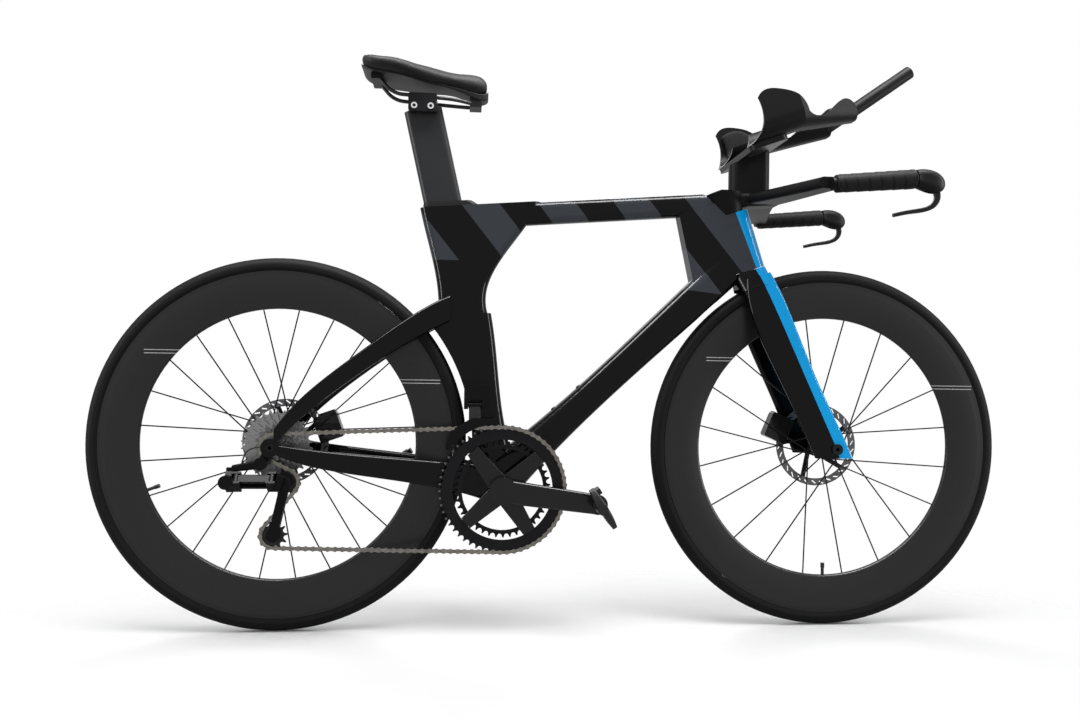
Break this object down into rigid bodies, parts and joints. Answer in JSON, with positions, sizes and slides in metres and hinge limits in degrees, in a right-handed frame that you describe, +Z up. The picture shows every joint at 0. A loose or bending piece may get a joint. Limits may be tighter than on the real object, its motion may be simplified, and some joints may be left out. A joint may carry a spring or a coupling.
{
  "type": "time trial bike",
  "caption": "Aero time trial bicycle with deep rims, forearm cups with raised extension grips, wing base bar, chain drive and disc brakes.",
  "frame": {"origin": "centre of the rear axle on the middle plane of the bicycle", "axes": "+X forward, +Y to the rider's left, +Z up; the drive side is -Y"},
  "size_m": [1.704, 0.4244, 1.0638],
  "materials": {
    "frame_paint": "gloss black paint over carbon with slate and blue fields",
    "satin_carbon": "satin black carbon moulding",
    "rim_carbon": "satin carbon",
    "tyre_rubber": "matt rubber",
    "black_steel": "black oxide",
    "black_alloy": "black anodised",
    "crank_finish": "gloss dark carbon",
    "pedal_plastic": "moulded plastic",
    "bright_steel": "bright steel",
    "brake_compound": "pressed compound",
    "soft_black": "matt soft skin"
  },
  "bodies": {
    "frame": {"front_triangle": "frame_paint", "chain_stays": "frame_paint", "seat_stays": "frame_paint", "derailleur_hanger": "black_steel", "bottom_bracket_cups": "black_alloy", "headset_bearings": "black_alloy", "seatpost_gasket": "soft_black", "rear_axle": "black_steel", "rear_caliper": "black_alloy", "front_derailleur_body": "black_alloy", "chain": "bright_steel", "rear_derailleur_base": "black_alloy", "derailleur_wire": "soft_black"},
    "steering": {"fork": "frame_paint", "base_bar": "satin_carbon", "bar_tape": "soft_black", "riser": "satin_carbon", "extension_bracket": "satin_carbon", "extensions": "satin_carbon", "arm_pads": "soft_black", "lever_housings": "satin_carbon", "front_axle": "black_steel", "front_caliper": "black_alloy"},
    "seat": {"seat_post": "satin_carbon", "saddle_clamp": "black_steel", "saddle_bolts": "bright_steel", "saddle_rails": "bright_steel", "saddle_shell": "satin_carbon", "saddle_cover": "soft_black"},
    "front_wheel": {"front_tyre": "tyre_rubber", "front_rim": "rim_carbon", "front_spokes": "black_steel", "front_hub": "black_alloy", "front_rotor": "bright_steel"},
    "rear_wheel": {"rear_tyre": "tyre_rubber", "rear_rim": "rim_carbon", "rear_spokes": "black_steel", "rear_hub": "black_alloy", "rear_rotor": "bright_steel"},
    "cassette": {"cassette": "bright_steel"},
    "crankset": {"right_crank": "crank_finish", "left_crank": "crank_finish", "chainrings": "black_alloy"},
    "right_pedal": {"right_pedal": "pedal_plastic"},
    "left_pedal": {"left_pedal": "pedal_plastic"},
    "outer_link": {"derailleur_outer_link": "black_alloy"},
    "inner_link": {"derailleur_inner_link": "black_alloy"},
    "knuckle": {"derailleur_knuckle": "black_alloy"},
    "cage": {"derailleur_cage": "pedal_plastic"},
    "guide_pulley": {"guide_pulley": "pedal_plastic"},
    "tension_pulley": {"tension_pulley": "pedal_plastic"},
    "front_cage": {"front_derailleur_cage": "pedal_plastic"},
    "left_lever": {"brake_lever_left": "black_alloy"},
    "right_lever": {"brake_lever_right": "black_alloy"},
    "front_pad_left": {"front_brake_pad_left": "brake_compound"},
    "front_pad_right": {"front_brake_pad_right": "brake_compound"},
    "rear_pad_left": {"rear_brake_pad_left": "brake_compound"},
    "rear_pad_right": {"rear_brake_pad_right": "brake_compound"},
    "left_button": {"shift_button_left": "pedal_plastic"},
    "right_button": {"shift_button_right": "pedal_plastic"}
  },
  "joints": [
    {"name": "steering_turn", "type": "hinge", "parent": "frame", "child": "steering", "pos_m": [0.85342, 0, 0.38554], "axis": [-0.309, 0, 0.9511], "range_deg": [-35, 35]},
    {"name": "front_wheel_spin", "type": "hinge", "parent": "steering", "child": "front_wheel", "pos_m": [1.026, 0, 0], "axis": [0, 1, 0], "continuous": true},
    {"name": "rear_wheel_spin", "type": "hinge", "parent": "frame", "child": "rear_wheel", "pos_m": [0, 0, 0], "axis": [0, 1, 0], "continuous": true},
    {"name": "crank_spin", "type": "hinge", "parent": "frame", "child": "crankset", "pos_m": [0.406, 0, -0.077], "axis": [0, 1, 0], "continuous": true, "deforming": ["chain"]},
    {"name": "cassette_spin", "type": "hinge", "parent": "frame", "child": "cassette", "pos_m": [0, -0.045, 0], "axis": [0, 1, 0], "continuous": true},
    {"name": "right_pedal_spin", "type": "hinge", "parent": "crankset", "child": "right_pedal", "pos_m": [0.57682, -0.09, -0.10101], "axis": [0, 1, 0], "continuous": true},
    {"name": "left_pedal_spin", "type": "hinge", "parent": "crankset", "child": "left_pedal", "pos_m": [0.23518, 0.09, -0.05299], "axis": [0, 1, 0], "continuous": true},
    {"name": "derailleur_shift", "type": "hinge", "parent": "frame", "child": "outer_link", "pos_m": [-0.054, -0.09201, -0.05272], "axis": [0, 0.6601, 0.7511], "range_deg": [0, 40]},
    {"name": "derailleur_inner_swing", "type": "hinge", "parent": "frame", "child": "inner_link", "pos_m": [-0.054, -0.07999, -0.06328], "axis": [0, 0.6601, 0.7511], "range_deg": [0, 40]},
    {"name": "derailleur_knuckle_swing", "type": "hinge", "parent": "outer_link", "child": "knuckle", "pos_m": [0.006, -0.09201, -0.05272], "axis": [0, 0.6601, 0.7511], "range_deg": [-40, 0]},
    {"name": "derailleur_cage_swing", "type": "hinge", "parent": "knuckle", "child": "cage", "pos_m": [0.024, -0.075, -0.062], "axis": [0, 1, 0], "range_deg": [-30, 8], "stiffness_Nm_per_rad": 1.2},
    {"name": "guide_pulley_spin", "type": "hinge", "parent": "cage", "child": "guide_pulley", "pos_m": [0.024, -0.0617, -0.062], "axis": [0, 1, 0], "continuous": true},
    {"name": "tension_pulley_spin", "type": "hinge", "parent": "cage", "child": "tension_pulley", "pos_m": [0.00371, -0.0617, -0.15481], "axis": [0, 1, 0], "continuous": true},
    {"name": "front_derailleur_swing", "type": "hinge", "parent": "frame", "child": "front_cage", "pos_m": [0.354, -0.033, 0.075], "axis": [1, 0, 0], "range_deg": [0, 8]},
    {"name": "seat_height", "type": "slide", "parent": "frame", "child": "seat", "axis": [-0.2215, 0, 0.9751], "range_m": [-0.06, 0.025]},
    {"name": "left_brake_pull", "type": "hinge", "parent": "steering", "child": "left_lever", "pos_m": [1.13118, 0.197, 0.46866], "axis": [0, 1, 0], "range_deg": [0, 16], "stiffness_Nm_per_rad": 2},
    {"name": "right_brake_pull", "type": "hinge", "parent": "steering", "child": "right_lever", "pos_m": [1.13118, -0.197, 0.46866], "axis": [0, 1, 0], "range_deg": [0, 16], "stiffness_Nm_per_rad": 2},
    {"name": "front_pad_left_press", "type": "slide", "parent": "steering", "child": "front_pad_left", "axis": [0, -1, 0], "range_m": [0, 0.0003]},
    {"name": "front_pad_right_press", "type": "slide", "parent": "steering", "child": "front_pad_right", "axis": [0, 1, 0], "range_m": [0, 0.0003]},
    {"name": "rear_pad_left_press", "type": "slide", "parent": "frame", "child": "rear_pad_left", "axis": [0, -1, 0], "range_m": [0, 0.0003]},
    {"name": "rear_pad_right_press", "type": "slide", "parent": "frame", "child": "rear_pad_right", "axis": [0, 1, 0], "range_m": [0, 0.0003]},
    {"name": "left_button_press", "type": "slide", "parent": "steering", "child": "left_button", "axis": [-0.8173, 0.0134, -0.5761], "range_m": [0, 0.0015], "stiffness_N_per_m": 600},
    {"name": "right_button_press", "type": "slide", "parent": "steering", "child": "right_button", "axis": [-0.8173, -0.0134, -0.5761], "range_m": [0, 0.0015], "stiffness_N_per_m": 600}
  ],
  "couplings": [
    {"joint": "cassette_spin", "follows": "crank_spin", "ratio": 5.0909},
    {"joint": "guide_pulley_spin", "follows": "crank_spin", "ratio": -5.0909},
    {"joint": "tension_pulley_spin", "follows": "crank_spin", "ratio": 5.0909},
    {"joint": "derailleur_inner_swing", "follows": "derailleur_shift", "ratio": 1},
    {"joint": "derailleur_knuckle_swing", "follows": "derailleur_shift", "ratio": -1},
    {"joint": "front_pad_left_press", "follows": "left_brake_pull", "m_per_rad": 0.0010732},
    {"joint": "front_pad_right_press", "follows": "left_brake_pull", "m_per_rad": 0.0010732},
    {"joint": "rear_pad_left_press", "follows": "right_brake_pull", "m_per_rad": 0.0010732},
    {"joint": "rear_pad_right_press", "follows": "right_brake_pull", "m_per_rad": 0.0010732}
  ]
}
